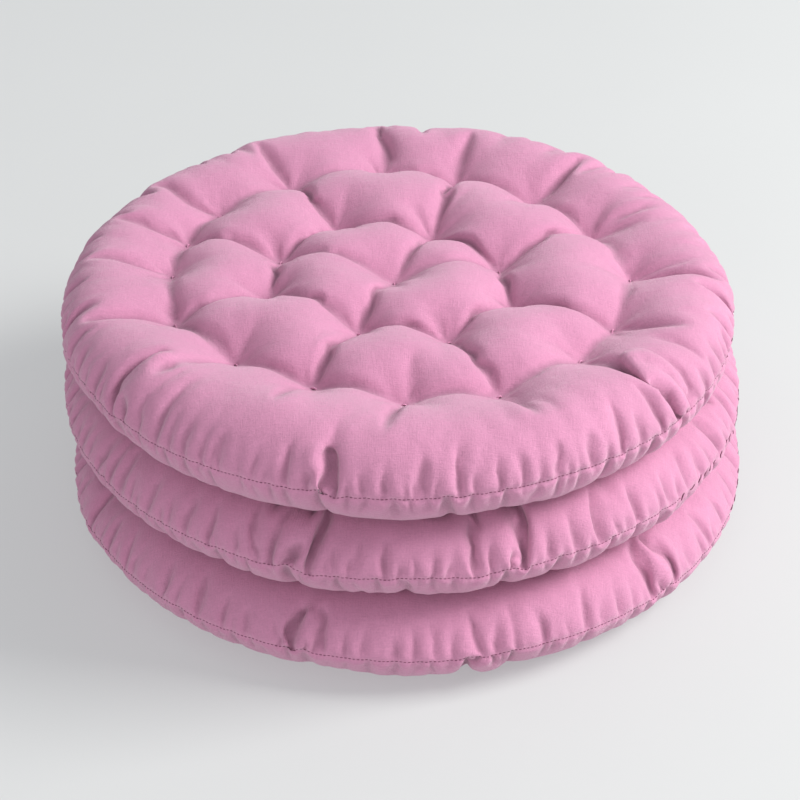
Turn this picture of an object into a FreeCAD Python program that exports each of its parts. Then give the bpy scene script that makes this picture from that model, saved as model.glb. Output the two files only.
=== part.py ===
"""Round tufted floor cushions, stacked: three alike, each of two fabric discs sewn edge to edge round a fibre
filling and drawn in by ties that go right through.

Frame: millimetres, +Z up, origin on the floor under the middle of the stack. The bottom cushion is modelled in
its place; the middle and top ones are the same pieces, lifted by one cushion each and turned about Z.
"""

import FreeCAD, Part
import math
import os

import Sketcher

# Driving dimensions, in millimetres and degrees: alias, value, what it sets
SIZES = (
    ("cushion_diameter", 600, "across the seam"),
    ("cushion_thickness", 80, "underside to crown"),
    ("edge_width", 60, "from the crown's rim out to the seam"),
    ("fabric", 0.8, "thickness of the cotton cover"),
    ("seam_allowance", 12, "width of the turned-in edge of each panel"),
    ("fill_clearance", 0.5, "gap between cover and filling"),
    ("stack_gap", 0.3, "gap between one cushion and the next"),
    ("outer_roll", 100, "from the seam in to the outer ring of tufts"),
    ("inner_ring_radius", 104, "middle to the inner ring of tufts"),
    ("pattern_shift", -7, "the tufts' pattern from the cushion's middle, along X"),
    ("tuft_depth", 28, "crown to the floor of a tuft"),
    ("tuft_floor_radius", 5, "flat fabric at the bottom of a tuft"),
    ("tuft_mouth_radius", 20, "a tuft's radius at the crown"),
    ("tie_thread", 1.2, "diameter of the tufting thread"),
    ("tie_stitch", 5, "distance between a tie's two strands"),
    ("knot_diameter", 4, "knot under each tie"),
    ("knot_length", 3, "the same knot, along the stitch"),
    ("needle_clearance", 0.1, "gap between a strand and its needle hole"),
    ("seam_thread", 0.8, "diameter of the sewing thread"),
    ("seam_inset", 3, "panel's edge to the line of stitches"),
    ("thread_clearance", 0.05, "gap between sewing thread and its groove"),
    ("closing_angle", 38, "share of the seam that is closed by hand"),
    ("closing_start", 341, "where the hand-closed part starts"),
    ("thread_end_gap", 0.4, "gap between the ends of the two threads"),
    ("middle_turn", 340, "turn of the middle cushion"),
    ("top_turn", 0, "turn of the top cushion"),
)

# The tufts are marked out by hand, so their pattern sits a little to one side of the cushion, and each drifts
# from its even place in the ring: degrees round the ring, millimetres outwards
INNER_DRIFT = ((-5, -6), (3, -20), (14, 3), (8, 7), (-4, 11), (8, -14), (9, 5), (6, 8))
OUTER_DRIFT = (
    *((0, 14), (0, 0), (1, -6), (3, -9), (2, -1), (6, -4), (7, 6), (1, 4)),
    *((-5, 2), (-4, 5), (-2, -10), (-1, -18), (1, -6), (2, 2), (5, 5), (-1, 7)),
)
INNER_START = 17
OUTER_START = 1.5

RADIUS = "(Sizes.cushion_diameter / 2)"
HALF = "(Sizes.cushion_thickness / 2)"
CROWN_RADIUS = f"({RADIUS} - Sizes.edge_width)"
# radius of the arc that is level at the crown and ends on the seam
EDGE_RADIUS = f"((Sizes.edge_width ^ 2 + {HALF} ^ 2) / Sizes.cushion_thickness)"
# a tuft's cone widens by this much for each millimetre up
SLOPE = "((Sizes.tuft_mouth_radius - Sizes.tuft_floor_radius) / Sizes.tuft_depth)"
FILL_INSET = "(Sizes.fabric + Sizes.fill_clearance)"

doc = FreeCAD.newDocument("floor_cushions")
vector = FreeCAD.Vector


def make_sheet():
    """The spreadsheet of driving dimensions."""
    sheet = doc.addObject("Spreadsheet::Sheet", "Sizes")
    for row, (alias, value, note) in enumerate(SIZES, start=1):
        sheet.set(f"A{row}", note)
        sheet.set(f"B{row}", str(value))
        sheet.setAlias(f"B{row}", alias)
    doc.recompute()


def bind(thing, **expressions):
    """Ties properties to the sheet. A double underscore in a name stands for a dot."""
    for name, expression in expressions.items():
        thing.setExpression(name.replace("__", "."), str(expression))
    return thing


def primitive(kind, name, rotation=None, **expressions):
    """A Part primitive whose sizes and place come from the sheet."""
    made = doc.addObject(f"Part::{kind}", name)
    if rotation:
        made.Placement = FreeCAD.Placement(vector(), rotation)
    return bind(made, **expressions)


def cut(name, base, tool):
    made = doc.addObject("Part::Cut", name)
    made.Base, made.Tool = base, tool
    return made


def fuse(name, *shapes):
    made = doc.addObject("Part::MultiFuse", name)
    made.Shapes = list(shapes)
    return made


def compound(name, links):
    made = doc.addObject("Part::Compound", name)
    made.Links = list(links)
    return made


def mirrored(name, source):
    """The same piece on the other side of the seam plane."""
    made = doc.addObject("Part::Mirroring", name)
    made.Source = source
    made.Normal = vector(0, 0, 1)
    return bind(made, Base__z=HALF)


def half_profile(sketch, inset, step=None, shelf=None):
    """Outline of the upper half of a cushion, drawn in by inset, from the seam plane up. With a step, its rim
    starts that much higher beyond the radius shelf, to clear the turned-in edge of a panel."""
    start, end, centre = 1, 2, 3
    # rough places, which the constraints below correct
    crown_r, rim_r, shelf_r, rim_z, crown_z, arc_r = 240.0, 298.0, 288.0, 1.0, 39.0, 64.0
    corners = [vector(0, crown_z), vector(0, 0)]
    if step:
        corners += [vector(shelf_r, 0), vector(shelf_r, rim_z)]
    corners.append(vector(rim_r, rim_z if step else 0))
    lines = [Part.LineSegment(a, b) for a, b in zip(corners, corners[1:])]
    circle = Part.Circle(vector(crown_r, crown_z - arc_r), vector(0, 0, 1), arc_r)
    lines.append(Part.ArcOfCircle(circle, 0.4, math.pi / 2))
    lines.append(Part.LineSegment(vector(crown_r, crown_z), corners[0]))
    for line in lines:
        sketch.addGeometry(line, False)
    axis, floor, arc, top = 0, 1, len(lines) - 2, len(lines) - 1
    rules = [("Coincident", k, end, k + 1, start) for k in range(len(lines) - 1)]
    rules += [("Coincident", top, end, axis, start), ("Coincident", floor, start, -1, 1)]
    rules += [("Vertical", axis), ("Horizontal", floor), ("Horizontal", top)]
    if step:
        rules += [("Vertical", floor + 1), ("Horizontal", floor + 2)]
    for rule in rules:
        sketch.addConstraint(Sketcher.Constraint(*rule))
    sizes = [
        ("centre_r", ("DistanceX", -1, 1, arc, centre), crown_r, CROWN_RADIUS),
        ("centre_drop", ("DistanceY", arc, centre, -1, 1), arc_r - crown_z, f"{EDGE_RADIUS} - {HALF}"),
        ("arc_radius", ("Radius", arc), arc_r, f"{EDGE_RADIUS} - {inset}"),
        ("crown_r", ("DistanceX", -1, 1, arc, end), crown_r, CROWN_RADIUS),
    ]
    if step:
        sizes.append(("shelf_r", ("DistanceX", -1, 1, floor, end), shelf_r, shelf))
        sizes.append(("step_z", ("DistanceY", floor, end, floor + 1, end), rim_z, step))
    for alias, rule, value, _ in sizes:
        sketch.renameConstraint(sketch.addConstraint(Sketcher.Constraint(*rule, value)), alias)
    for alias, _, _, expression in sizes:
        sketch.setExpression(f"Constraints.{alias}", expression)


def half_disc(name, inset, **rim):
    """A body: the upper half of a cushion as a plain turned solid, standing on the seam plane."""
    body = doc.addObject("PartDesign::Body", name)
    sketch = body.newObject("Sketcher::SketchObject", f"{name}_profile")
    upright = next(f for f in body.Origin.OriginFeatures if f.Role == "XZ_Plane")
    sketch.AttachmentSupport = [(upright, "")]
    sketch.MapMode = "FlatFace"
    half_profile(sketch, inset, **rim)
    turned = body.newObject("PartDesign::Revolution", f"{name}_turned")
    turned.Profile = sketch
    turned.ReferenceAxis = (sketch, ["V_Axis"])
    turned.Angle = 360
    return bind(body, Placement__Base__z=HALF)


def tuft_cone(name, inset):
    """One tuft's dent as a tool, its floor and wall lying inset below the cover's outer face."""
    floor_radius = f"Sizes.tuft_floor_radius + {inset} * (sqrt(1 + {SLOPE} ^ 2) - {SLOPE})"
    height = f"(Sizes.tuft_depth * 1.5 + {inset})"
    return primitive(
        "Cone",
        name,
        Radius1=floor_radius,
        Radius2=f"{floor_radius} + {height} * {SLOPE}",
        Height=height,
        Placement__Base__z=f"Sizes.cushion_thickness - Sizes.tuft_depth - {inset}",
    )


def strands(name, clearance, low, height):
    """Two upright cylinders, one for each strand of a tie."""
    return [
        primitive(
            "Cylinder",
            f"{name}_{side}",
            Radius=f"Sizes.tie_thread / 2 + {clearance}",
            Height=height,
            Placement__Base__x=f"{sign} * Sizes.tie_stitch / 2",
            Placement__Base__z=low,
        )
        for side, sign in (("left", -1), ("right", 1))
    ]


def tie_bend(name, tilt, z):
    """Half a ring of thread, where a tie turns back outside the cover."""
    return primitive(
        "Torus",
        name,
        rotation=FreeCAD.Rotation(vector(1, 0, 0), tilt),
        Radius1="Sizes.tie_stitch / 2",
        Radius2="Sizes.tie_thread / 2",
        Angle3=180,
        Placement__Base__z=z,
    )


def tie_loop():
    """One tie at the middle of a cushion: a closed loop of thread with its knot on the underside."""
    low = "Sizes.tuft_depth"
    high = "(Sizes.cushion_thickness - Sizes.tuft_depth)"
    knot = primitive(
        "Cylinder",
        "tie_knot",
        rotation=FreeCAD.Rotation(vector(0, 1, 0), 90),
        Radius="Sizes.knot_diameter / 2",
        Height="Sizes.knot_length",
        Placement__Base__x="-Sizes.knot_length / 2",
        Placement__Base__z=f"{low} - Sizes.tie_stitch / 2",
    )
    sides = strands("tie_strand", 0, low, f"{high} - {low}")
    return fuse("tie_loop", *sides, tie_bend("tie_top", 90, high), tie_bend("tie_foot", -90, low), knot)


def tuft_places():
    """Ring, radius and angle of every tuft in a cushion, the radius as an expression."""
    rings = (
        ("inner", "Sizes.inner_ring_radius", INNER_START, INNER_DRIFT),
        ("outer", f"({RADIUS} - Sizes.outer_roll)", OUTER_START, OUTER_DRIFT),
    )
    places = [("centre", "0", 0.0)]
    for ring, radius, first, drift in rings:
        for k, (round_by, out_by) in enumerate(drift):
            angle = first + 360.0 * k / len(drift) + round_by
            places.append((ring, f"({radius} + {out_by})", angle))
    return places


def at_tufts(name, master, rings=("centre", "inner", "outer")):
    """Copies of a master piece at the tufts of the rings named, in one compound."""
    copies = []
    for ring, radius, angle in tuft_places():
        if ring not in rings:
            continue
        copy = doc.addObject("App::Link", f"{name}_{len(copies) + 1}")
        copy.LinkedObject = master
        copy.LinkTransform = True
        turned = FreeCAD.Rotation(vector(0, 0, 1), angle + 90)
        copy.Placement = FreeCAD.Placement(vector(), turned)
        bind(
            copy,
            Placement__Base__x=f"{radius} * cos({angle} deg) + Sizes.pattern_shift",
            Placement__Base__y=f"{radius} * sin({angle} deg)",
        )
        copies.append(copy)
    return compound(name, copies)


def thread_arc(name, section, start, sweep):
    """Part of the ring of stitches, lying in the seam plane. Angles are expressions in degrees."""
    made = primitive(
        "Torus",
        name,
        rotation=FreeCAD.Rotation(vector(0, 0, 1), 1),
        Radius1=f"{RADIUS} - Sizes.seam_inset",
        Radius2=section,
        Angle3=sweep,
        Placement__Base__z=HALF,
    )
    return bind(made, Placement__Rotation__Angle=start)


def upper_panel(holes):
    """The disc of fabric above the seam, dented at the tufts, with its edge turned in."""
    outside = cut("cover_outside", half_disc("cover_blank", 0), at_tufts("cover_dents", tuft_cone("dent", 0)))
    hollow = half_disc(
        "hollow_blank",
        "Sizes.fabric",
        step="Sizes.fabric",
        shelf=f"{RADIUS} - Sizes.seam_allowance",
    )
    inner_dents = at_tufts("hollow_dents", tuft_cone("hollow_dent", "Sizes.fabric"))
    shell = cut("cover_shell", outside, cut("cover_hollow", hollow, inner_dents))
    groove = thread_arc("seam_groove", "Sizes.seam_thread / 2 + Sizes.thread_clearance", 0, 360)
    return cut("upper_panel", cut("grooved_shell", shell, groove), holes)


def filling(holes):
    """The fibre inside the cover, pressed in at the tufts, as one solid."""
    blank = half_disc(
        "fill_blank",
        FILL_INSET,
        step=FILL_INSET,
        shelf=f"{RADIUS} - Sizes.seam_allowance - Sizes.fill_clearance",
    )
    dents = at_tufts("fill_dents", tuft_cone("fill_dent", FILL_INSET))
    half = cut("half_filling", blank, dents)
    return cut("filling", fuse("whole_filling", half, mirrored("lower_filling", half)), holes)


def sewing():
    """The machine-sewn line round the seam, and the hand-sewn one that closes the gap left for filling."""
    section = "Sizes.seam_thread / 2"
    closing = thread_arc("closing_thread", section, "Sizes.closing_start", "Sizes.closing_angle")
    first = "Sizes.closing_start + Sizes.closing_angle + Sizes.thread_end_gap"
    sweep = "360 - Sizes.closing_angle - 2 * Sizes.thread_end_gap"
    return thread_arc("seam_thread", section, first, sweep), closing


def bottom_cushion():
    """Every piece of the bottom cushion, as name and object."""
    needle = compound("needle_holes", strands("needle", "Sizes.needle_clearance", 0, "Sizes.cushion_thickness"))
    holes = at_tufts("all_needle_holes", needle)
    panel = upper_panel(holes)
    tie = tie_loop()
    seam, closing = sewing()
    return {
        "upper_panel": panel,
        "lower_panel": mirrored("lower_panel", panel),
        "filling": filling(holes),
        "seam_thread": seam,
        "closing_thread": closing,
        "centre_tie": at_tufts("centre_tie", tie, rings=("centre",)),
        "inner_ring_ties": at_tufts("inner_ring_ties", tie, rings=("inner",)),
        "outer_ring_ties": at_tufts("outer_ring_ties", tie, rings=("outer",)),
    }


def stacked(pieces, cushion, level, turn):
    """The same pieces again, as the cushion that many levels up, turned about Z."""
    copies = []
    for piece, master in pieces.items():
        copy = doc.addObject("App::Link", f"{cushion}_{piece}")
        copy.LinkedObject = master
        copy.LinkTransform = True
        copy.Label = f"{cushion}_{piece}"
        copy.Placement = FreeCAD.Placement(vector(), FreeCAD.Rotation(vector(0, 0, 1), 1))
        bind(
            copy,
            Placement__Base__z=f"{level} * (Sizes.cushion_thickness + Sizes.stack_gap)",
            Placement__Rotation__Angle=turn,
        )
        copies.append(copy)
    return copies


def check(subparts):
    """Stops if any object failed or any sub-part has no sound shape."""
    for thing in doc.Objects:
        if {"Invalid", "Error"} & set(thing.State):
            raise RuntimeError(f"{thing.Label} did not rebuild: {thing.State}")
    for subpart in subparts:
        shape = Part.getShape(subpart)
        if shape.isNull() or not shape.isValid() or not shape.Solids:
            raise RuntimeError(f"{subpart.Label} has no valid solid")


def write(subparts):
    os.makedirs("parts", exist_ok=True)
    for subpart in subparts:
        Part.getShape(subpart).exportStep(f"parts/{subpart.Label}.step")


def main():
    make_sheet()
    pieces = bottom_cushion()
    for piece, master in pieces.items():
        master.Label = f"bottom_{piece}"
    subparts = list(pieces.values())
    subparts += stacked(pieces, "middle", 1, "Sizes.middle_turn")
    subparts += stacked(pieces, "top", 2, "Sizes.top_turn")
    doc.recompute()
    check(subparts)
    write(subparts)


main()
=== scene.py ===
"""Looks for a stack of three tufted floor cushions: simulated cotton covers, stitches, ties and a studio.

Each cover starts as two discs of cloth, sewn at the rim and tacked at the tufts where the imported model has
its ties. It is then blown up on a floor and, if another cushion lies on it, under a ceiling, so its pillows,
creases and puckers come from the cloth. Lengths are in metres, except where a name or a comment says mm.
"""

import math
from concurrent.futures import ThreadPoolExecutor
from types import SimpleNamespace

import bpy
import numpy as np
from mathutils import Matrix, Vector
from mathutils.geometry import delaunay_2d_cdt


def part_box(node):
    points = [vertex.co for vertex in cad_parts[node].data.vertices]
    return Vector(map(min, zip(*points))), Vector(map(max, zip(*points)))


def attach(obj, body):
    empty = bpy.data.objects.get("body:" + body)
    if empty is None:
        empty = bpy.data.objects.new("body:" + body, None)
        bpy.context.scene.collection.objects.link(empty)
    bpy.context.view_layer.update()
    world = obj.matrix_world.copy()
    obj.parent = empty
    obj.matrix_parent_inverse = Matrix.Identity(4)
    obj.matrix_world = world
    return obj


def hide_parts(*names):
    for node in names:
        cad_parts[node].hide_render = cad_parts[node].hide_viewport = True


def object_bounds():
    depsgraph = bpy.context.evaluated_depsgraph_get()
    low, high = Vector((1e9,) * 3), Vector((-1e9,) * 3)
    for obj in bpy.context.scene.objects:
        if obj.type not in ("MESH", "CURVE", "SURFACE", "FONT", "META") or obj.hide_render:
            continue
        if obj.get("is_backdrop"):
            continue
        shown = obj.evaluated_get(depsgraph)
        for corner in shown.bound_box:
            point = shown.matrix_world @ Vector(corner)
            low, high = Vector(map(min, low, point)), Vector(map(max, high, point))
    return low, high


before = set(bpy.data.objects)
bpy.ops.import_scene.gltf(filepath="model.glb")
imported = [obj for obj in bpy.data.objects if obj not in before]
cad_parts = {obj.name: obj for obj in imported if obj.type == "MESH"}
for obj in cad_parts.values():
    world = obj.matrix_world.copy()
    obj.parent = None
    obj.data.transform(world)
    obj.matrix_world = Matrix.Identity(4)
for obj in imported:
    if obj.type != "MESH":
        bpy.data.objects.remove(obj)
cad_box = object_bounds()

CUSHIONS = ("bottom", "middle", "top")
EDGE_WIDTH = 0.060  # from the crown's rim out to the seam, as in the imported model
TIE_ABOVE_FLOOR = 0.0031  # how far a tie's loop stands above the cloth it holds down
TIE_BELOW_FLOOR = 0.0045  # and its knot below, on the underside

# The cloth
COARSE_SPACING = 0.0128
TUFT_RINGS = (0.0045, 0.0098)  # closer points in rings round each tuft
TUFT_RING_SPACING = 0.0052
STEPS = (300, 220, 70)  # simulation steps at each spacing, each half the one before
SEAM_BAND = 0.036  # the cloth's triangles get smaller over this width up to the seam
PRESSURE = 0.07
LARGEST_PUSH = 2.5  # on one point, against the average
BENDING = 0.0007
DAMPING = 0.95
PUSH_BACK = 0.4  # how much cloth resists being squeezed, as a share of how it resists stretching
FLOOR_GRIP = 0.5
SEAM_STIFFNESS = 3.0  # of the seam against stretching, where the plain cloth has 1
SEAM_HOLD = 0.06  # how firmly the filling holds the seam out to its circle
FLAT_WIDTH = 0.45  # how far a flattened stretch of the edge goes on either side of its middle, in radians
VALLEY = 4.0  # how hard the cloth is drawn in between neighbouring tufts, in units of PRESSURE
RING_VALLEY = 7.0  # the same between neighbours in the outer ring
VALLEY_WIDTH = 2.8  # in mm
PINCHES = 5  # short creases at each tuft
PINCH_WIDTH = 2.0  # in mm
CREASES = 2  # longer ones over the roll beside each tuft of the outer ring
CREASE_WIDTH = 3.0  # in mm
PUCKERS = 120  # places for puckers along the seam, a quarter of them left out
PUCKER_WIDTH = 1.7  # in mm
FOLD_LINE_WIDTH = 1.8  # of the line that each deep fold is drawn in along, in mm
VALLEY_SLACK, RING_SLACK = 1.055, 1.03  # the cloth's length along a valley, against the straight distance
VALLEY_REACH = 0.006  # how far to each side it is that short
VALLEY_SPREAD = math.cos(math.radians(52))  # the cosine of the least angle between two valleys at a tuft
LONGEST_VALLEY = 0.125
RING_BAND = 0.15  # tufts further out than this are the outer ring's
RING_SPARE = 0.06  # spare cloth round the outer ring of tufts
ROLL_SPARE = (0.075, 0.08, 0.15, 0.18)  # and over the roll: three places on the way out, and the rim
ROLL_SPARE_AT = (245, 280, 300)  # those places, in mm
GATHERING = 0.022  # how unevenly it is gathered
FOLD_WIDTH = 7  # in mm
FOLD_SPARE = 0.8  # spare cloth that goes into each deep fold
FIRST_DIP = 0.022  # width of the dips at the tufts before the cloth settles
FIRST_SHAKE = 0.0004  # and its unevenness
TUFT_EASE = 0.12  # extra length over the roll where a tuft would pull it down
ROLL_PUSH = (0.7, 0.85, 1.2)  # the filling's push just outside the tufts, half way, and at the edge

# The looks
GROOVE_DEPTH, GROOVE_WIDTH = 0.0014, 0.0022  # pressed in along the seam
DISC_CENTRES = np.array([[0.293, 0.293], [0.707, 0.707]])  # of the upper and lower disc in the unit square
DISC_RADIUS = 0.288
SEAM_STITCH, SEAM_GAP, SEAM_THREAD = 0.0026, 0.0010, 0.00034  # a machine stitch, the gap, the thread's radius
HAND_THREAD = 0.00055
HAND_PITCH = (0.009, 0.017)
HAND_LEAN = (0.002, 0.0045)
HAND_REACH = (0.0016, 0.0034)  # how far a hand stitch reaches to each side of the seam
THREAD_SIDES = 6
COTTON_COLOUR = (0.520, 0.222, 0.353)
COTTON_YARNS = 390.0  # weave frequency
SEWING_COLOUR, SEWING_TWIST = (0.15, 0.035, 0.08), 0.0005
TUFTING_COLOUR, TUFTING_TWIST = (0.60, 0.27, 0.42), 0.0008
WORN_WIDTH = 0.005  # the paler edge at the seam

# The studio
FLOOR_COLOUR = (0.300, 0.308, 0.304)
# Painted light: the floor glows a little, though it is no lamp, so the shadow on it stays light
FLOOR_GLOW_COLOUR, FLOOR_GLOW = (0.97, 0.98, 1.0), 0.34
FLOOR_HALF_WIDTH = 15.0
FLOOR_DROP = 0.0002
GLOW_COLOUR = (0.95, 0.97, 1.0)
GLOW = 0.56
LIGHTS = (
    ("window", (2.9, 0.0, 2.3), 1.7, 205.0, (1.0, 0.99, 0.975)),
    ("room", (-0.5, -3.2, 0.9), 3.0, 46.0, (1.0, 0.99, 0.98)),
)
LIGHTS_AIM = Vector((0, 0, 0.1))
EYE, EYE_AIM = Vector((-0.002, -1.841, 1.3385)), Vector((-0.002, 0, 0.088))
LENS, SENSOR = 107.1, 36.0


def fold(angle, side, inner, outer, strength, slant=0.0):
    """A deep fold over the roll.

    It has an angle in degrees, a side (1 above, -1 below), a start and end in mm from the middle, how hard
    the cloth is drawn in along it, and how far it turns aside, in radians.
    """
    at = math.radians(angle)
    return SimpleNamespace(angle=at, side=side, inner=inner, outer=outer, strength=strength, slant=slant)


# How each cushion's cloth was cut and gathered. covered: another cushion lies on it. spare: how much longer
# the cloth is than the cushion. roll: the same over the outer roll. rim: how far the seam is pushed out. lean
# and flat: where the roll is fuller and where the edge is flattened, each an angle in degrees and a distance.
MAKING = {
    "bottom": SimpleNamespace(
        seed=11,
        covered=True,
        spare=1.10,
        roll=1.05,
        rim=1.044,
        lean=(300, 0.009),
        flat=(0, 0.0),
        folds=(
            fold(254, 1, 284, 317, 7, 0.06),
            fold(283, -1, 280, 317, 5),
            fold(316, 1, 270, 317, 7, 0.06),
        ),
    ),
    "middle": SimpleNamespace(
        seed=23,
        covered=True,
        spare=1.10,
        roll=1.05,
        rim=1.040,
        lean=(0, 0.0),
        flat=(0, 0.0),
        folds=(
            fold(251, 1, 235, 317, 15, 0.04),
            fold(287, 1, 245, 317, 13, -0.04),
        ),
    ),
    "top": SimpleNamespace(
        seed=37,
        covered=False,
        spare=1.09,
        roll=0.985,
        rim=1.010,
        lean=(244, 0.0095),
        flat=(48, 0.010),
        folds=(
            fold(321, 1, 236, 317, 12, -0.05),
            fold(258, 1, 280, 317, 8, 0.05),
            fold(221, 1, 245, 300, 5, 0.03),
        ),
    ),
}


def tuft_places(cushion):
    """Where a cushion's ties go through it, as x, y rows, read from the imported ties."""
    found = []
    for node in ("centre_tie", "inner_ring_ties", "outer_ring_ties"):
        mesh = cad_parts[f"{cushion}_{node}"].data
        points = np.empty(len(mesh.vertices) * 3)
        mesh.vertices.foreach_get("co", points)
        points = points.reshape(-1, 3)[:, :2]
        while len(points):
            mine = np.linalg.norm(points - points[0], axis=1) < 0.012
            found.append((points[mine].min(axis=0) + points[mine].max(axis=0)) / 2)
            points = points[~mine]
    return np.array(found)


def measure(cushion):
    """One cushion's sizes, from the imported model."""
    low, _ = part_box(f"{cushion}_lower_panel")
    upper_low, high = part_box(f"{cushion}_upper_panel")
    tie_low, tie_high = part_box(f"{cushion}_centre_tie")
    radius = (high[0] - upper_low[0]) / 2
    thickness = high[2] - low[2]
    arc = (EDGE_WIDTH**2 + (thickness / 2) ** 2) / thickness
    sweep = math.asin(EDGE_WIDTH / arc)
    return SimpleNamespace(
        base=low[2],
        radius=radius,
        thickness=thickness,
        crown=radius - EDGE_WIDTH,
        arc=arc,
        sweep=sweep,
        rim=radius - EDGE_WIDTH + arc * sweep,
        upper_floor=tie_high[2] - TIE_ABOVE_FLOOR - low[2],
        lower_floor=tie_low[2] + TIE_BELOW_FLOOR - low[2],
        tufts=tuft_places(cushion),
    )


def profile(size, reach):
    """Radius and height of the plain cushion's upper face, at a distance measured over it from the middle."""
    turn = np.clip((reach - size.crown) / size.arc, 0, size.sweep)
    radius = np.where(reach < size.crown, reach, size.crown + size.arc * np.sin(turn))
    height = np.where(reach < size.crown, size.thickness, size.thickness - size.arc * (1 - np.cos(turn)))
    return radius, height


def disc_of_cloth(size, rng):
    """Points and triangles of one disc: the tufts first, then the rim, then the rest, finer near the rim."""
    step = COARSE_SPACING
    rim_count = int(2 * math.pi * size.rim / (step * 0.62))
    turn = 2 * math.pi * np.arange(rim_count) / rim_count
    rim = size.rim * np.c_[np.cos(turn), np.sin(turn)]
    count = int(size.rim / step) + 2
    row, column = np.mgrid[-2 * count : 2 * count + 1, -2 * count : 2 * count + 1]
    inside = np.c_[((column + 0.5 * (row % 2)) * step).ravel(), (row * step * math.sqrt(0.75)).ravel()]
    inside += rng.uniform(-0.22, 0.22, inside.shape) * step
    inside = inside[np.linalg.norm(inside, axis=1) < size.rim - SEAM_BAND - 0.4 * step]
    to_tuft = np.linalg.norm(inside[:, None] - size.tufts[None], axis=2).min(axis=1)
    rows = [size.tufts, rim, inside[to_tuft > TUFT_RINGS[-1] + 0.5 * step]]
    for tuft in size.tufts:
        for reach in TUFT_RINGS:
            on_ring = round(2 * math.pi * reach / TUFT_RING_SPACING)
            turn = 2 * math.pi * (np.arange(on_ring) + rng.uniform()) / on_ring
            rows.append(tuft + reach * np.c_[np.cos(turn), np.sin(turn)])
    reach, gap = size.rim, step * 0.58
    while reach - gap > size.rim - SEAM_BAND:
        reach -= gap
        on_row = int(2 * math.pi * reach / (gap * 1.12))
        turn = 2 * math.pi * (np.arange(on_row) + rng.uniform(-0.25, 0.25, on_row)) / on_row
        near = reach + rng.uniform(-0.16, 0.16, on_row) * gap
        rows.append(near[:, None] * np.c_[np.cos(turn), np.sin(turn)])
        gap *= 1.1
    points = np.vstack(rows)
    first = len(size.tufts)
    hem = [(first + k, first + (k + 1) % rim_count) for k in range(rim_count)]
    made = delaunay_2d_cdt([Vector(p) for p in points], hem, [], 1, 1e-7)
    return points, np.array([list(face) for face in made[2]]), rim_count


def sewn_cover(size, rng):
    """Two discs sewn at the rim: where each point is on its disc, the faces, and each point's side."""
    points, faces, rim_count = disc_of_cloth(size, rng)
    count, tufts = len(points), len(size.tufts)
    on_rim = np.zeros(count, bool)
    on_rim[tufts : tufts + rim_count] = True
    below = np.arange(count)
    below[~on_rim] = count + np.arange((~on_rim).sum())
    side = np.r_[np.where(on_rim, 0, 1), -np.ones((~on_rim).sum(), int)]
    return SimpleNamespace(
        cloth=np.vstack([points, points[~on_rim]]),
        faces=np.vstack([faces, below[faces][:, ::-1]]),
        side=side,
        rim=np.arange(tufts, tufts + rim_count),
        tacked=np.r_[np.arange(tufts), below[:tufts]],
    )


def edges_of(faces):
    """The edges, and for each face its three edges' places in that list."""
    pairs = np.sort(np.vstack([faces[:, [0, 1]], faces[:, [1, 2]], faces[:, [2, 0]]]), axis=1)
    count = faces.max() + 1
    keys, back = np.unique(pairs[:, 0] * count + pairs[:, 1], return_inverse=True)
    return np.c_[keys // count, keys % count], back.reshape(3, -1).T


def along_rim(cover, edges):
    """Which edges lie along the seam."""
    on_rim = cover.side[edges] == 0
    first, second = cover.cloth[edges[:, 0]], cover.cloth[edges[:, 1]]
    pitch = 2 * math.pi * np.linalg.norm(cover.cloth[cover.rim[0]]) / len(cover.rim)
    return on_rim.all(axis=1) & (np.linalg.norm(first - second, axis=1) < 1.3 * pitch)


def halved(cover, shape):
    """The same cover with every triangle cut into four."""
    edges, of_face = edges_of(cover.faces)
    count = len(shape)
    a, b, c = cover.faces.T
    ab, bc, ca = (count + of_face).T
    faces = np.vstack([np.c_[a, ab, ca], np.c_[b, bc, ab], np.c_[c, ca, bc], np.c_[ab, bc, ca]])
    middle = cover.cloth[edges].mean(axis=1)
    on_rim = along_rim(cover, edges)
    rim_reach = np.linalg.norm(cover.cloth[cover.rim[0]])
    middle[on_rim] *= (rim_reach / np.linalg.norm(middle[on_rim], axis=1))[:, None]
    side = np.where(on_rim, 0, np.sign(cover.side[edges].sum(axis=1)))
    rim = np.r_[cover.rim, count + np.flatnonzero(on_rim)]
    cloth = np.vstack([cover.cloth, middle])
    rim = rim[np.argsort(np.arctan2(cloth[rim, 1], cloth[rim, 0]))]
    finer = SimpleNamespace(
        cloth=cloth,
        faces=faces,
        side=np.r_[cover.side, side],
        rim=rim,
        tacked=cover.tacked,
    )
    return finer, np.vstack([shape, shape[edges].mean(axis=1)])


def polar(points):
    """Distance from the middle, and angle."""
    return np.linalg.norm(points, axis=1), np.arctan2(points[:, 1], points[:, 0])


def away_from(angle, centre):
    """Signed angle from centre, between -pi and pi."""
    return (angle - centre + math.pi) % (2 * math.pi) - math.pi


def gathers(making):
    """Cloth that is fuller in some places round the roll than in others, as a function of place."""
    rng = np.random.default_rng(making.seed + 100)
    waves = range(5, 26)
    phases = rng.uniform(0, 2 * math.pi, (2, len(waves)))
    sizes = rng.normal(size=len(waves)) / 3

    def spare(reach_mm, angle, side):
        total = np.zeros(len(angle))
        for wave, phase, turned, size in zip(waves, *phases, sizes):
            total += size * np.cos(wave * angle + phase + side * turned)
        return GATHERING * total * np.interp(reach_mm, (190, 235), (0, 1))

    return spare


def from_ring_tuft(size, angle):
    """How far each angle is from the nearest tuft of the outer ring, in mm along that ring."""
    reach, turn = polar(size.tufts)
    outer = turn[reach > RING_BAND]
    return np.abs(away_from(angle[:, None], outer[None])).min(axis=1) * reach.max() * 1000


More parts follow.
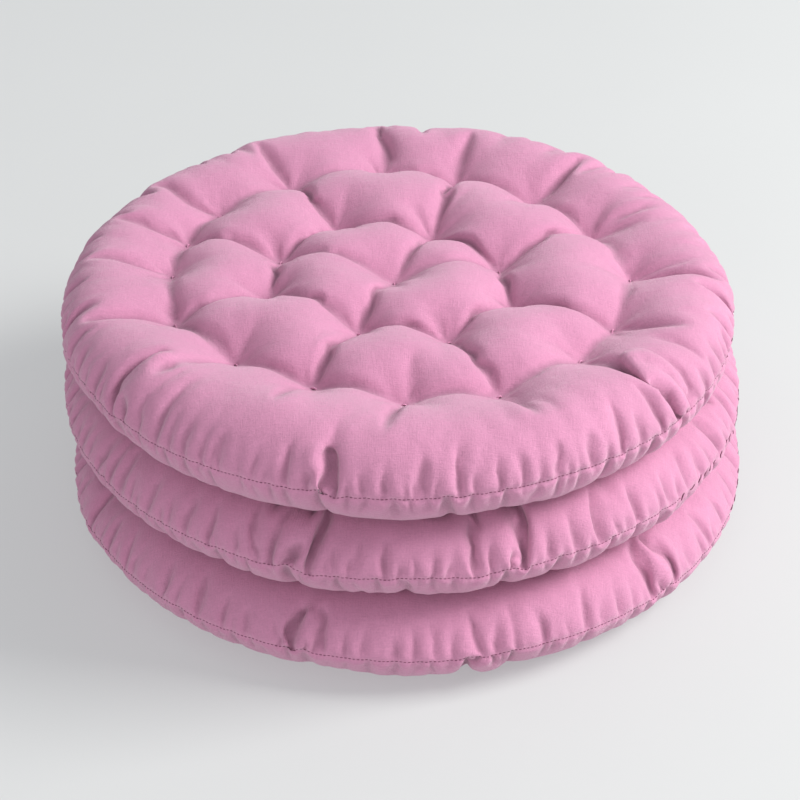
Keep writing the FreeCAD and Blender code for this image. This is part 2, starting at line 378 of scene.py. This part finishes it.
def beside(points, first, second):
    """Where points lie by the line between two tufts: how far along it, from 0 to 1, and how far aside."""
    run = second - first
    along = (points - first) @ run / (run @ run)
    return along, np.linalg.norm(points - first - along[:, None] * run, axis=1)


def valleys(size):
    """The valleys between neighbouring tufts: both ends, how strongly the cloth is drawn in, and its length.

    The shortest come first, and one that lies too close in direction to another at the same tuft is left out,
    so that the pillows between them have four or five sides.
    """
    made = delaunay_2d_cdt([Vector(p) for p in size.tufts], [], [], 0, 1e-7)
    reach, _ = polar(size.tufts)
    runs = [(a, b, size.tufts[b] - size.tufts[a]) for a, b in made[1]]
    kept = {tuft: [] for tuft in range(len(size.tufts))}
    for a, b, run in sorted(runs, key=lambda one: np.linalg.norm(one[2])):
        length = np.linalg.norm(run)
        run = run / length
        crowded = any(run @ other > VALLEY_SPREAD for other in kept[a])
        crowded = crowded or any(-run @ other > VALLEY_SPREAD for other in kept[b])
        if length > LONGEST_VALLEY or crowded:
            continue
        kept[a].append(run)
        kept[b].append(-run)
        outer = min(reach[a], reach[b]) > RING_BAND
        yield size.tufts[a], size.tufts[b], *((RING_VALLEY, RING_SLACK) if outer else (VALLEY, VALLEY_SLACK))


def rest_lengths(cover, edges, size, making):
    """Each edge's length in the flat cloth, which is larger than the cushion, so it can puff and gather."""
    ends = cover.cloth[edges]
    middle = ends.mean(axis=1)
    reach, angle = polar(middle)
    outward = middle / (reach[:, None] + 1e-9)
    run = ends[:, 1] - ends[:, 0]
    radial = (run * outward).sum(axis=1)
    around = run[:, 1] * outward[:, 0] - run[:, 0] * outward[:, 1]
    side = np.sign(cover.side[edges].sum(axis=1))
    reach_mm = reach * 1000
    rim_mm = size.rim * 1000
    radius, _ = profile(size, reach)
    over_roll = 1 + 0.8 * (making.spare - 1)
    lengthwise = np.interp(reach_mm, (205, 240, 258), (making.spare, over_roll, making.roll))
    extra = np.interp(
        reach_mm,
        (190, 212, *ROLL_SPARE_AT, rim_mm),
        (RING_SPARE, RING_SPARE, *ROLL_SPARE),
    )
    extra = extra + gathers(making)(reach_mm, angle, side)
    for line in making.folds:
        aside = away_from(angle, line.angle) * radius * 1000
        there = (side == line.side) * (reach_mm > line.inner)
        extra += FOLD_SPARE * np.exp(-((aside / FOLD_WIDTH) ** 2)) * there
    toward, by = making.lean
    fuller = 1 + by / (size.radius - 0.2) * np.cos(angle - math.radians(toward))
    lengthwise = lengthwise * np.where(reach_mm > 205, fuller, 1)
    near_tuft = np.exp(-((from_ring_tuft(size, angle) / 20) ** 2))
    near_ring = np.interp(reach_mm, (200, 212, 235, 255), (0, 1, 1, 0))
    lengthwise = lengthwise * (1 + TUFT_EASE * near_tuft * near_ring)
    inner = np.interp(reach_mm, (165, 190), (1, 0))
    crosswise = inner * making.spare + (1 - inner) * radius / np.maximum(reach, 1e-6) * (1 + extra)
    squared = (lengthwise * radial) ** 2 + (crosswise * around) ** 2
    spare = squared / (run**2).sum(axis=1)
    for first, second, _, slack in valleys(size):
        line = (second - first) / np.linalg.norm(second - first)
        along, aside = beside(middle, first, second)
        near = np.exp(-((aside / VALLEY_REACH) ** 2)) * ((along > 0) & (along < 1)) * (side != 0)
        squared -= near * (run @ line) ** 2 * np.maximum(spare - slack**2, 0)
    return np.sqrt(squared)


def crease_lines(size, making):
    """Every line along which the cloth is drawn in: the deep folds, those beside tufts, and seam puckers.

    Each is a row of side, angle, start and end in mm from the middle, slant, strength and width in mm.
    """
    rng = np.random.default_rng(making.seed + 200)
    rim_mm = size.rim * 1000
    rows = [(f.side, f.angle, f.inner, f.outer, f.slant, f.strength, FOLD_LINE_WIDTH) for f in making.folds]
    reach, angle = polar(size.tufts)
    for side in (1, -1):
        for place, turn in zip(reach, angle):
            if place < RING_BAND:
                continue
            for _ in range(CREASES):
                start = place * 1000 + rng.uniform(6, 12)
                aside = rng.uniform(-0.11, 0.11)
                end = start + rng.uniform(22, 62)
                rows.append((side, turn + aside, start, end, aside, rng.uniform(1, 4), CREASE_WIDTH))
        for turn in 2 * math.pi * (np.arange(PUCKERS) + rng.uniform(-0.45, 0.45, PUCKERS)) / PUCKERS:
            if rng.uniform() < 0.25:
                continue
            start = rim_mm - rng.uniform(9, 15) * (1 + 2.2 * rng.uniform() ** 4)
            rows.append((side, turn, start, rim_mm + 1, 0.0, rng.uniform(1.5, 5.5), PUCKER_WIDTH))
    return rows


def pinches(size, making):
    """Short creases that run out from each tuft: cushion side, both ends and strength."""
    rng = np.random.default_rng(making.seed + 400)
    for side in (1, -1):
        for tuft in size.tufts:
            for turn in 2 * math.pi * (np.arange(PINCHES) + rng.uniform(-0.4, 0.4, PINCHES)) / PINCHES:
                way = np.array([math.cos(turn), math.sin(turn)])
                yield side, tuft + 0.002 * way, tuft + rng.uniform(0.012, 0.030) * way, rng.uniform(2, 6)


def drawn_in(cover, size, making, spacing_mm):
    """How hard each point of the cloth is drawn in by the creases, in units of the filling's pressure."""
    reach, angle = polar(cover.cloth)
    reach_mm = reach * 1000
    pull = np.zeros(len(reach))
    wide = max(VALLEY_WIDTH, 0.55 * spacing_mm) / 1000
    for first, second, strength, _ in valleys(size):
        along, aside = beside(cover.cloth, first, second)
        middle = 0.8 if strength == RING_VALLEY else 0.25
        within = np.interp(along, (0, 0.1, 0.32, 0.5, 0.68, 0.9, 1), (0, 1, 0.6, middle, 0.6, 1, 0))
        line = strength * (VALLEY_WIDTH / 1000 / wide) * within * np.exp(-((aside / wide) ** 2))
        pull = np.maximum(pull, line)
    for side, first, second, strength in pinches(size, making):
        if PINCH_WIDTH < 0.3 * spacing_mm:
            break
        along, aside = beside(cover.cloth, first, second)
        wide = max(PINCH_WIDTH, 0.5 * spacing_mm) / 1000
        within = np.interp(along, (0, 0.1, 1), (0, 1, 0)) * (cover.side == side)
        pull += strength * (PINCH_WIDTH / 1000 / wide) * within * np.exp(-((aside / wide) ** 2))
    for side, turn, start, end, slant, strength, width in crease_lines(size, making):
        if width < 0.3 * spacing_mm:
            continue
        along = (reach_mm - start) / (end - start)
        near = (along > -0.1) & (along < 1.1) & ((cover.side == side) | (cover.side == 0))
        aside = away_from(angle[near], turn - slant * along[near]) * reach_mm[near]
        wide = max(width, 0.55 * spacing_mm)
        ends = np.interp(along[near], (-0.1, 0.15, 0.6, 1.1), (0, 1, 1, 0.3 if end < 300 else 1))
        pull[near] += strength * (width / wide) * ends * np.exp(-((aside / wide) ** 2))
    return pull


def neighbour_table(edges, count, lengths, weights):
    """Each point's neighbours, with the length and weight of the edge to each, padded to equal width."""
    start = np.r_[edges[:, 0], edges[:, 1]]
    order = np.argsort(start, kind="stable")
    start = start[order]
    end = np.r_[edges[:, 1], edges[:, 0]][order]
    number = np.bincount(start, minlength=count)
    place = np.arange(len(start)) - np.r_[0, np.cumsum(number)[:-1]][start]
    shape = (count, number.max())
    neighbour = np.repeat(np.arange(count, dtype=np.int32)[:, None], shape[1], axis=1)
    length = np.ones(shape, np.float32)
    weight = np.zeros(shape, np.float32)
    neighbour[start, place] = end
    length[start, place] = np.r_[lengths, lengths][order]
    weight[start, place] = np.r_[weights, weights][order]
    return neighbour, length, weight


def faces_at(faces, count):
    """The faces that meet at each point, padded with one number past the last face."""
    point = faces.T.ravel()
    order = np.argsort(point, kind="stable")
    point = point[order]
    face = np.tile(np.arange(len(faces)), 3)[order]
    number = np.bincount(point, minlength=count)
    table = np.full((count, number.max()), len(faces), np.int32)
    table[point, np.arange(len(point)) - np.r_[0, np.cumsum(number)[:-1]][point]] = face
    return table


def normals(shape, faces, meeting):
    """At each point, the unit normal and the area around it."""
    corner = shape[faces[:, 0]]
    across = np.cross(shape[faces[:, 1]] - corner, shape[faces[:, 2]] - corner)
    across = np.vstack([across, np.zeros((1, 3), across.dtype)])
    total = across[meeting].sum(axis=1)
    area = np.linalg.norm(total, axis=1, keepdims=True)
    return total / (area + 1e-12), area


def settle(cover, shape, size, making, steps, stiffer):
    """Lets the cloth find its shape: stretch, bending, the filling's push, creases, floor and neighbours."""
    real = np.float32
    edges, _ = edges_of(cover.faces)
    lengths = rest_lengths(cover, edges, size, making)
    weights = np.ones(len(edges))
    seam = along_rim(cover, edges)
    seam_radius = size.radius * making.rim
    lengths[seam] = 2 * math.pi * seam_radius / len(cover.rim)
    toward, by = math.radians(making.lean[0]), making.lean[1]
    middle = np.array([by * math.cos(toward), by * math.sin(toward)], real)
    weights[seam] = SEAM_STIFFNESS
    flat_at, flat_by = math.radians(making.flat[0]), making.flat[1]
    _, rim_angle = polar(cover.cloth[cover.rim])
    reach_out = seam_radius - flat_by * np.exp(-((away_from(rim_angle, flat_at) / FLAT_WIDTH) ** 2))
    reach_out = reach_out.astype(real)[:, None]
    neighbour, length, weight = neighbour_table(edges, len(shape), lengths, weights)
    used = (weight > 0).astype(real)
    used /= used.sum(axis=1, keepdims=True)
    share = 1 / weight.sum(axis=1, keepdims=True)
    meeting = faces_at(cover.faces, len(shape))
    spacing = float(lengths.mean())
    pull = drawn_in(cover, size, making, spacing * 1000).astype(real)[:, None]
    shape = shape.astype(real)
    speed = np.zeros_like(shape)
    bending = real(BENDING * stiffer)
    reach_mm = np.linalg.norm(cover.cloth, axis=1) * 1000
    firmness = np.interp(reach_mm, (190, 204, 235, 265), (1, *ROLL_PUSH))
    push_size = (PRESSURE * spacing**2 * firmness).astype(real)[:, None]
    for step in range(steps):
        if step % 4 == 0:
            normal, area = normals(shape, cover.faces, meeting)
            push = normal * (np.minimum(area / area.mean(), LARGEST_PUSH) - pull) * push_size
        gap = shape[neighbour] - shape[:, None]
        apart = np.sqrt(np.einsum("ijk,ijk->ij", gap, gap)) + real(1e-9)
        strain = (apart - length) / apart
        strain = np.where(strain < 0, strain * real(PUSH_BACK), strain) * weight
        stretch = np.einsum("ij,ijk->ik", strain, gap) * share
        hollow = np.einsum("ij,ijk,ik->i", used, gap, normal)
        bend = bending * (hollow - (used * hollow[neighbour]).sum(axis=1))
        speed = speed * real(DAMPING) + stretch + push + normal * bend[:, None]
        speed[cover.tacked] = 0
        shape = shape + speed
        from_middle = shape[cover.rim, :2] - middle
        out_by = reach_out / np.linalg.norm(from_middle, axis=1, keepdims=True) - 1
        shape[cover.rim, :2] += SEAM_HOLD * out_by * from_middle
        rest_on(shape, speed, shape[:, 2] < 0, 0)
        if making.covered:
            rest_on(shape, speed, shape[:, 2] > size.thickness, size.thickness)
    return shape.astype(float)


def rest_on(shape, speed, touching, height):
    """Stops the points that touch a flat surface at a height."""
    shape[touching, 2] = height
    speed[touching, 2] = 0
    speed[touching, :2] *= FLOOR_GRIP


def first_shape(cover, size, rng):
    """The cover before it settles: the plain cushion, with a soft dip at each tuft."""
    reach, angle = polar(cover.cloth)
    radius, height = profile(size, reach)
    x, y = radius * np.cos(angle), radius * np.sin(angle)
    to_tuft = np.hypot(x[:, None] - size.tufts[:, 0], y[:, None] - size.tufts[:, 1]).min(axis=1)
    height = height - (size.thickness - size.upper_floor) * np.exp(-((to_tuft / FIRST_DIP) ** 2))
    height = np.where(cover.side < 0, size.thickness - height, height)
    shape = np.c_[x, y, height] + rng.normal(0, FIRST_SHAKE, (len(x), 3))
    above, below = np.split(cover.tacked, 2)
    shape[above] = np.c_[size.tufts, np.full(len(above), size.upper_floor)]
    shape[below] = np.c_[size.tufts, np.full(len(below), size.lower_floor)]
    return shape


def simulate(cushion):
    """One cushion's cover and its shape, standing on height 0."""
    size, making = SIZES[cushion], MAKING[cushion]
    rng = np.random.default_rng(making.seed)
    cover = sewn_cover(size, rng)
    shape = first_shape(cover, size, rng)
    for level, steps in enumerate(STEPS):
        if level:
            cover, shape = halved(cover, shape)
        if level == 0 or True:
            shape = settle(cover, shape, size, making, steps, 4**level)
    return cover, shape


def simulate_all():
    """Every cushion's cover and shape; the three are worked out side by side."""
    with ThreadPoolExecutor(len(CUSHIONS)) as pool:
        return dict(zip(CUSHIONS, pool.map(simulate, CUSHIONS)))


def node(tree, kind, inputs=None, **settings):
    """Adds a shader node, sets its properties, and links or sets its inputs."""
    made = tree.nodes.new(kind)
    for name, value in settings.items():
        setattr(made, name, value)
    for name, value in (inputs or {}).items():
        socket = made.inputs[name]
        if isinstance(value, bpy.types.NodeSocket):
            tree.links.new(value, socket)
        else:
            socket.default_value = value
    return made


def new_material(name):
    """A new material, its node tree and its Principled shader."""
    material = bpy.data.materials.new(name)
    material.use_nodes = True
    tree = material.node_tree
    return material, tree, tree.nodes["Principled BSDF"]


def maths(tree, operation, first, second):
    return node(tree, "ShaderNodeMath", {0: first, 1: second}, operation=operation).outputs[0]


def noise(tree, vector, scale, detail=2.0, roughness=0.5):
    inputs = {"Vector": vector, "Scale": scale, "Detail": detail, "Roughness": roughness}
    return node(tree, "ShaderNodeTexNoise", inputs).outputs["Fac"]


def stretched(tree, vector, scale, shift):
    inputs = {"Vector": vector, "Scale": scale, "Location": shift}
    return node(tree, "ShaderNodeMapping", inputs).outputs[0]


def centred(tree, value, size):
    """Turns a 0 to 1 value into one between plus and minus size."""
    inputs = {"Value": value, "From Min": 0.3, "From Max": 0.7, "To Min": -size, "To Max": size}
    return node(tree, "ShaderNodeMapRange", inputs, clamp=True).outputs[0]


def cotton(name, shift, rim, tint):
    """Plain-woven matte cotton: yarns with slubs, a soft crumple, faint mottling, a paler edge at the seam.

    The creases are darker, as the cloth shades itself there.
    """
    material, tree, shader = new_material(name)
    flat = node(tree, "ShaderNodeUVMap", uv_map="cloth").outputs[0]
    reach = node(tree, "ShaderNodeVectorMath", {0: flat}, operation="LENGTH").outputs["Value"]
    yarns = []
    for direction, bands in (("X", (90, 1400, 1)), ("Y", (1400, 90, 1))):
        wave = node(
            tree,
            "ShaderNodeTexWave",
            {"Vector": flat, "Scale": COTTON_YARNS, "Distortion": 1.2, "Detail": 1.0, "Detail Scale": 0.6},
            bands_direction=direction,
        ).outputs["Fac"]
        slub = noise(tree, stretched(tree, flat, bands, shift), 1.0, 3.0)
        yarns.append((wave, slub))
    weave = maths(tree, "ADD", yarns[0][0], yarns[1][0])
    slubs = maths(tree, "ADD", yarns[0][1], yarns[1][1])
    moved = stretched(tree, flat, (1, 1, 1), shift)
    grain = noise(tree, moved, 620.0, 2.0, 0.6)
    crumple = noise(tree, moved, 62.0, 5.0, 0.58)
    mottle = noise(tree, moved, 13.0, 4.0, 0.6)

    value = maths(tree, "ADD", centred(tree, maths(tree, "MULTIPLY", slubs, 0.5), 0.075), 1.0)
    value = maths(tree, "ADD", value, centred(tree, grain, 0.055))
    value = maths(tree, "ADD", value, centred(tree, mottle, 0.035))
    # painted shade: the weave makes the colour a little darker between the yarns
    value = maths(tree, "ADD", value, centred(tree, maths(tree, "MULTIPLY", weave, 0.5), 0.02))
    worn = node(
        tree,
        "ShaderNodeMapRange",
        {"Value": reach, "From Min": rim - WORN_WIDTH, "From Max": rim, "To Min": 0.0, "To Max": 0.07},
        clamp=True,
    ).outputs[0]
    value = maths(tree, "ADD", value, worn)
    curve = node(tree, "ShaderNodeNewGeometry").outputs["Pointiness"]
    inputs = {"Value": curve, "From Min": 0.42, "From Max": 0.50, "To Min": 0.50, "To Max": 1.0}
    crease = node(tree, "ShaderNodeMapRange", inputs, clamp=True).outputs[0]
    value = maths(tree, "MULTIPLY", value, crease)
    shade = node(tree, "ShaderNodeHueSaturation", {"Color": (*tint, 1), "Value": value, "Fac": 1.0})
    tree.links.new(shade.outputs[0], shader.inputs["Base Color"])
    rough = maths(tree, "ADD", centred(tree, grain, 0.05), 0.88)
    tree.links.new(rough, shader.inputs["Roughness"])

    soft = node(tree, "ShaderNodeBump", {"Height": crumple, "Strength": 0.5, "Distance": 0.0022})
    height = maths(tree, "ADD", maths(tree, "MULTIPLY", weave, 0.5), maths(tree, "MULTIPLY", slubs, 1.6))
    height = maths(tree, "ADD", height, grain)
    fine = node(
        tree,
        "ShaderNodeBump",
        {"Height": height, "Strength": 0.55, "Distance": 0.0005, "Normal": soft.outputs[0]},
    )
    tree.links.new(fine.outputs[0], shader.inputs["Normal"])
    shader.inputs["Sheen Weight"].default_value = 0.38
    shader.inputs["Sheen Roughness"].default_value = 0.45
    shader.inputs["Sheen Tint"].default_value = (1.0, 0.92, 0.97, 1)
    shader.inputs["Specular IOR Level"].default_value = 0.2
    return material


def twisted_thread(name, colour, pitch):
    """Sewing thread: slanting plies with painted shade in the gaps between them, and a little fuzz."""
    material, tree, shader = new_material(name)
    place = node(tree, "ShaderNodeTexCoord").outputs["Object"]
    plies = node(
        tree,
        "ShaderNodeTexWave",
        {"Vector": place, "Scale": 0.314 / pitch, "Distortion": 1.5, "Detail": 1.0},
        bands_direction="DIAGONAL",
    ).outputs["Fac"]
    fuzz = noise(tree, place, 2400.0, 2.0)
    # painted shade: the plies' wave darkens the colour in the gaps between the plies
    value = maths(tree, "ADD", centred(tree, plies, 0.22), centred(tree, fuzz, 0.12))
    value = maths(tree, "ADD", value, 1.0)
    shade = node(tree, "ShaderNodeHueSaturation", {"Color": (*colour, 1), "Value": value, "Fac": 1.0})
    tree.links.new(shade.outputs[0], shader.inputs["Base Color"])
    tree.links.new(maths(tree, "ADD", centred(tree, fuzz, 0.08), 0.72), shader.inputs["Roughness"])
    bump = node(tree, "ShaderNodeBump", {"Height": plies, "Strength": 0.6, "Distance": 0.0002})
    tree.links.new(bump.outputs[0], shader.inputs["Normal"])
    return material


def mesh_piece(name, points, faces, material):
    """A smooth mesh object with one material."""
    mesh = bpy.data.meshes.new(name)
    mesh.from_pydata(points.tolist(), [], faces if isinstance(faces, list) else faces.tolist())
    mesh.shade_smooth()
    mesh.materials.append(material)
    piece = bpy.data.objects.new(name, mesh)
    bpy.context.scene.collection.objects.link(piece)
    return piece


def flat_maps(mesh, cover):
    """Two UV maps: OFBake has the discs side by side, and cloth has places on the flat cloth in metres."""
    corner = cover.faces.ravel()
    below = np.repeat(cover.side[cover.faces].sum(axis=1) < 0, 3).astype(int)
    rim = np.linalg.norm(cover.cloth[cover.rim[0]])
    packed = DISC_CENTRES[below] + cover.cloth[corner] * (DISC_RADIUS / rim)
    for name, places in (("OFBake", packed), ("cloth", cover.cloth[corner])):
        layer = mesh.uv_layers.new(name=name)
        layer.data.foreach_set("uv", places.astype(np.float32).ravel())


def grooved(cover, shape, normal, rim):
    """Presses the cloth in along the seam, where the thread holds it."""
    from_seam = rim - np.linalg.norm(cover.cloth, axis=1)
    return shape - normal * (GROOVE_DEPTH * np.exp(-((from_seam / GROOVE_WIDTH) ** 2)))[:, None]


def closing_arc(cushion):
    """Where the hand-sewn opening is: the middle of its arc, and half its width, as angles."""
    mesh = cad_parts[f"{cushion}_closing_thread"].data
    points = np.array([v.co[:2] for v in mesh.vertices])
    middle = math.atan2(*points.mean(axis=0)[::-1])
    return middle, np.abs(away_from(np.arctan2(points[:, 1], points[:, 0]), middle)).max()


def threads(name, paths, outward, radius, material):
    """Lengths of thread with rounded ends, one for each path; outward points away from the cloth."""
    sides = THREAD_SIDES
    run = np.gradient(paths, axis=1)
    run /= np.linalg.norm(run, axis=2, keepdims=True)
    across = np.cross(run, outward)
    across /= np.linalg.norm(across, axis=2, keepdims=True)
    up = np.cross(across, run)
    count, rows = paths.shape[:2]
    along = np.linspace(-1, 1, rows)
    thick = radius * np.sqrt(np.clip(1.04 - np.abs(along) ** 6, 0.04, 1))
    turn = 2 * math.pi * np.arange(sides) / sides
    ring = np.cos(turn)[:, None] * across[:, :, None] + np.sin(turn)[:, None] * up[:, :, None]
    points = (paths[:, :, None] + thick[:, None, None] * ring).reshape(-1, 3)
    faces = []
    for one in range(count):
        first = one * rows * sides
        for row in range(rows - 1):
            a = first + row * sides
            for k in range(sides):
                j = (k + 1) % sides
                faces.append((a + k, a + sides + k, a + sides + j, a + j))
        faces.append(tuple(first + k for k in range(sides)))
        faces.append(tuple(first + (rows - 1) * sides + k for k in reversed(range(sides))))
    return mesh_piece(name, points, faces, material)


def seam_stitches(cushion, rim_points, rim_normals, material):
    """The machine stitches along the seam, outside the hand-sewn opening."""
    closed = np.vstack([rim_points, rim_points[:1]])
    reach = np.r_[0, np.cumsum(np.linalg.norm(np.diff(closed, axis=0), axis=1))]
    count = round(reach[-1] / (SEAM_STITCH + SEAM_GAP))
    start = reach[-1] * np.arange(count) / count
    along = start[:, None] + np.linspace(0, SEAM_STITCH, 6)

    def at(values):
        values = np.vstack([values, values[:1]])
        return np.stack([np.interp(along % reach[-1], reach, values[:, k]) for k in range(3)], axis=2)

    paths, outward = at(rim_points), at(rim_normals)
    lift = SEAM_THREAD * np.array([-0.9, 0.2, 0.5, 0.5, 0.2, -0.9])
    paths = paths + outward * lift[:, None]
    middle, half = closing_arc(cushion)
    turn = np.arctan2(paths[:, 2, 1], paths[:, 2, 0])
    sewn = np.abs(away_from(turn, middle)) > half
    return threads(f"{cushion}_seam_stitches", paths[sewn], outward[sewn], SEAM_THREAD, material)


def on_cloth(cover, values, side, reach, angle):
    """A value of the cover's points at a place on the flat cloth, from the three nearest points."""
    place = reach * np.array([math.cos(angle), math.sin(angle)])
    near = np.flatnonzero((cover.side == side) | (cover.side == 0))
    apart = np.linalg.norm(cover.cloth[near] - place, axis=1)
    three = np.argpartition(apart, 3)[:3]
    weight = 1 / (apart[three] + 1e-6)
    return (values[near[three]] * weight[:, None]).sum(axis=0) / weight.sum()


def closing_stitches(cushion, cover, shape, normal, rim, material, rng):
    """The uneven slanting stitches that close the opening, each across the seam from below to above."""
    middle, half = closing_arc(cushion)
    turn, paths, outward = middle - half, [], []
    while turn < middle + half:
        lean = rng.uniform(*HAND_LEAN) / rim
        across = rng.uniform(*HAND_REACH)
        lifts = HAND_THREAD * np.array([-0.9, 0.4, 0.7, 0.8, 0.7, 0.4, -0.9])
        path, out = [], []
        for place, lift in zip(np.linspace(-1, 1, 7), lifts):
            spot = (np.sign(place), rim - across * abs(place), turn + lean * place)
            away = on_cloth(cover, normal, *spot)
            away /= np.linalg.norm(away)
            path.append(on_cloth(cover, shape, *spot) + away * lift)
            out.append(away)
        paths.append(path)
        outward.append(out)
        turn += rng.uniform(*HAND_PITCH) / rim
    return threads(f"{cushion}_closing_stitches", np.array(paths), np.array(outward), HAND_THREAD, material)


def dress(cushion, cover, shape, fabric, sewing, tufting):
    """One cushion's visible pieces: its cover and stitches, and a material for its ties."""
    size, body = SIZES[cushion], f"{cushion}_cushion"
    rim = np.linalg.norm(cover.cloth[cover.rim[0]])
    meeting = faces_at(cover.faces, len(shape))
    normal, _ = normals(shape, cover.faces, meeting)
    shape = grooved(cover, shape, normal, rim) + (0, 0, size.base)
    normal, _ = normals(shape, cover.faces, meeting)
    rng = np.random.default_rng(MAKING[cushion].seed + 300)

    skin = mesh_piece(f"{cushion}_cover", shape, cover.faces, fabric)
    flat_maps(skin.data, cover)
    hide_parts(f"{cushion}_upper_panel", f"{cushion}_lower_panel", f"{cushion}_filling")
    machine = seam_stitches(cushion, shape[cover.rim], normal[cover.rim], sewing)
    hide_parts(f"{cushion}_seam_thread")
    hand = closing_stitches(cushion, cover, shape, normal, rim, sewing, rng)
    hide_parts(f"{cushion}_closing_thread")
    for piece in (skin, machine, hand):
        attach(piece, body)
    for ties in ("centre_tie", "inner_ring_ties", "outer_ring_ties"):
        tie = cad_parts[f"{cushion}_{ties}"]
        for slot in tie.material_slots:
            slot.material = tufting


def studio():
    """A plain pale floor with a faint painted glow that lightens its shadow, a window's soft light from the
    right, the room's from the front, and a glow from all round.
    """
    material, tree, shader = new_material("studio_floor")
    place = node(tree, "ShaderNodeTexCoord").outputs["Object"]
    value = maths(tree, "ADD", centred(tree, noise(tree, place, 3.0, 3.0), 0.012), 1.0)
    shade = node(tree, "ShaderNodeHueSaturation", {"Color": (*FLOOR_COLOUR, 1), "Value": value, "Fac": 1.0})
    tree.links.new(shade.outputs[0], shader.inputs["Base Color"])
    shader.inputs["Roughness"].default_value = 0.7
    shader.inputs["Specular IOR Level"].default_value = 0.2
    # painted light: a faint glow of the floor's own, which lightens the shadow on it
    shader.inputs["Emission Color"].default_value = (*FLOOR_GLOW_COLOUR, 1)
    shader.inputs["Emission Strength"].default_value = FLOOR_GLOW
    half = FLOOR_HALF_WIDTH
    corners = np.array([(-half, -half, 0), (half, -half, 0), (half, half, 0), (-half, half, 0)])
    floor = mesh_piece("studio_floor", corners - (0, 0, FLOOR_DROP), [(0, 1, 2, 3)], material)
    floor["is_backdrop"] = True

    world = bpy.data.worlds.new("studio_glow")
    world.use_nodes = True
    glow = world.node_tree.nodes["Background"].inputs
    glow["Color"].default_value = (*GLOW_COLOUR, 1)
    glow["Strength"].default_value = GLOW
    bpy.context.scene.world = world
    for name, place, width, power, colour in LIGHTS:
        light = bpy.data.lights.new(name, "AREA")
        light.shape = "SQUARE"
        light.size = width
        light.energy = power
        light.color = colour
        lamp = bpy.data.objects.new(name, light)
        lamp.location = place
        lamp.visible_camera = False
        lamp.rotation_euler = (LIGHTS_AIM - Vector(place)).to_track_quat("-Z", "Y").to_euler()
        bpy.context.scene.collection.objects.link(lamp)


def camera():
    """The view from about two metres in front, looking down at the stack."""
    lens = bpy.data.cameras.new("camera")
    lens.sensor_width = SENSOR
    lens.lens = LENS
    eye = bpy.data.objects.new("camera", lens)
    eye.location = EYE
    eye.rotation_euler = (EYE_AIM - EYE).to_track_quat("-Z", "Y").to_euler()
    bpy.context.scene.collection.objects.link(eye)
    bpy.context.scene.camera = eye


SIZES = {cushion: measure(cushion) for cushion in CUSHIONS}
camera()
studio()
bpy.context.scene.view_settings.view_transform = "Standard"
sewing_thread = twisted_thread("sewing_thread", SEWING_COLOUR, SEWING_TWIST)
tufting_thread = twisted_thread("tuft_thread", TUFTING_COLOUR, TUFTING_TWIST)
for number, (cushion, (cover, shape)) in enumerate(simulate_all().items()):
    rim_reach = float(SIZES[cushion].rim)
    fabric = cotton(f"{cushion}_cotton", (3.1 * number, 1.7 * number, 0.0), rim_reach, COTTON_COLOUR)
    dress(cushion, cover, shape, fabric, sewing_thread, tufting_thread)

boxes = {"cad": cad_box, "visual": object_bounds()}
{name: [[float(v) for v in corner] for corner in box] for name, box in boxes.items()}
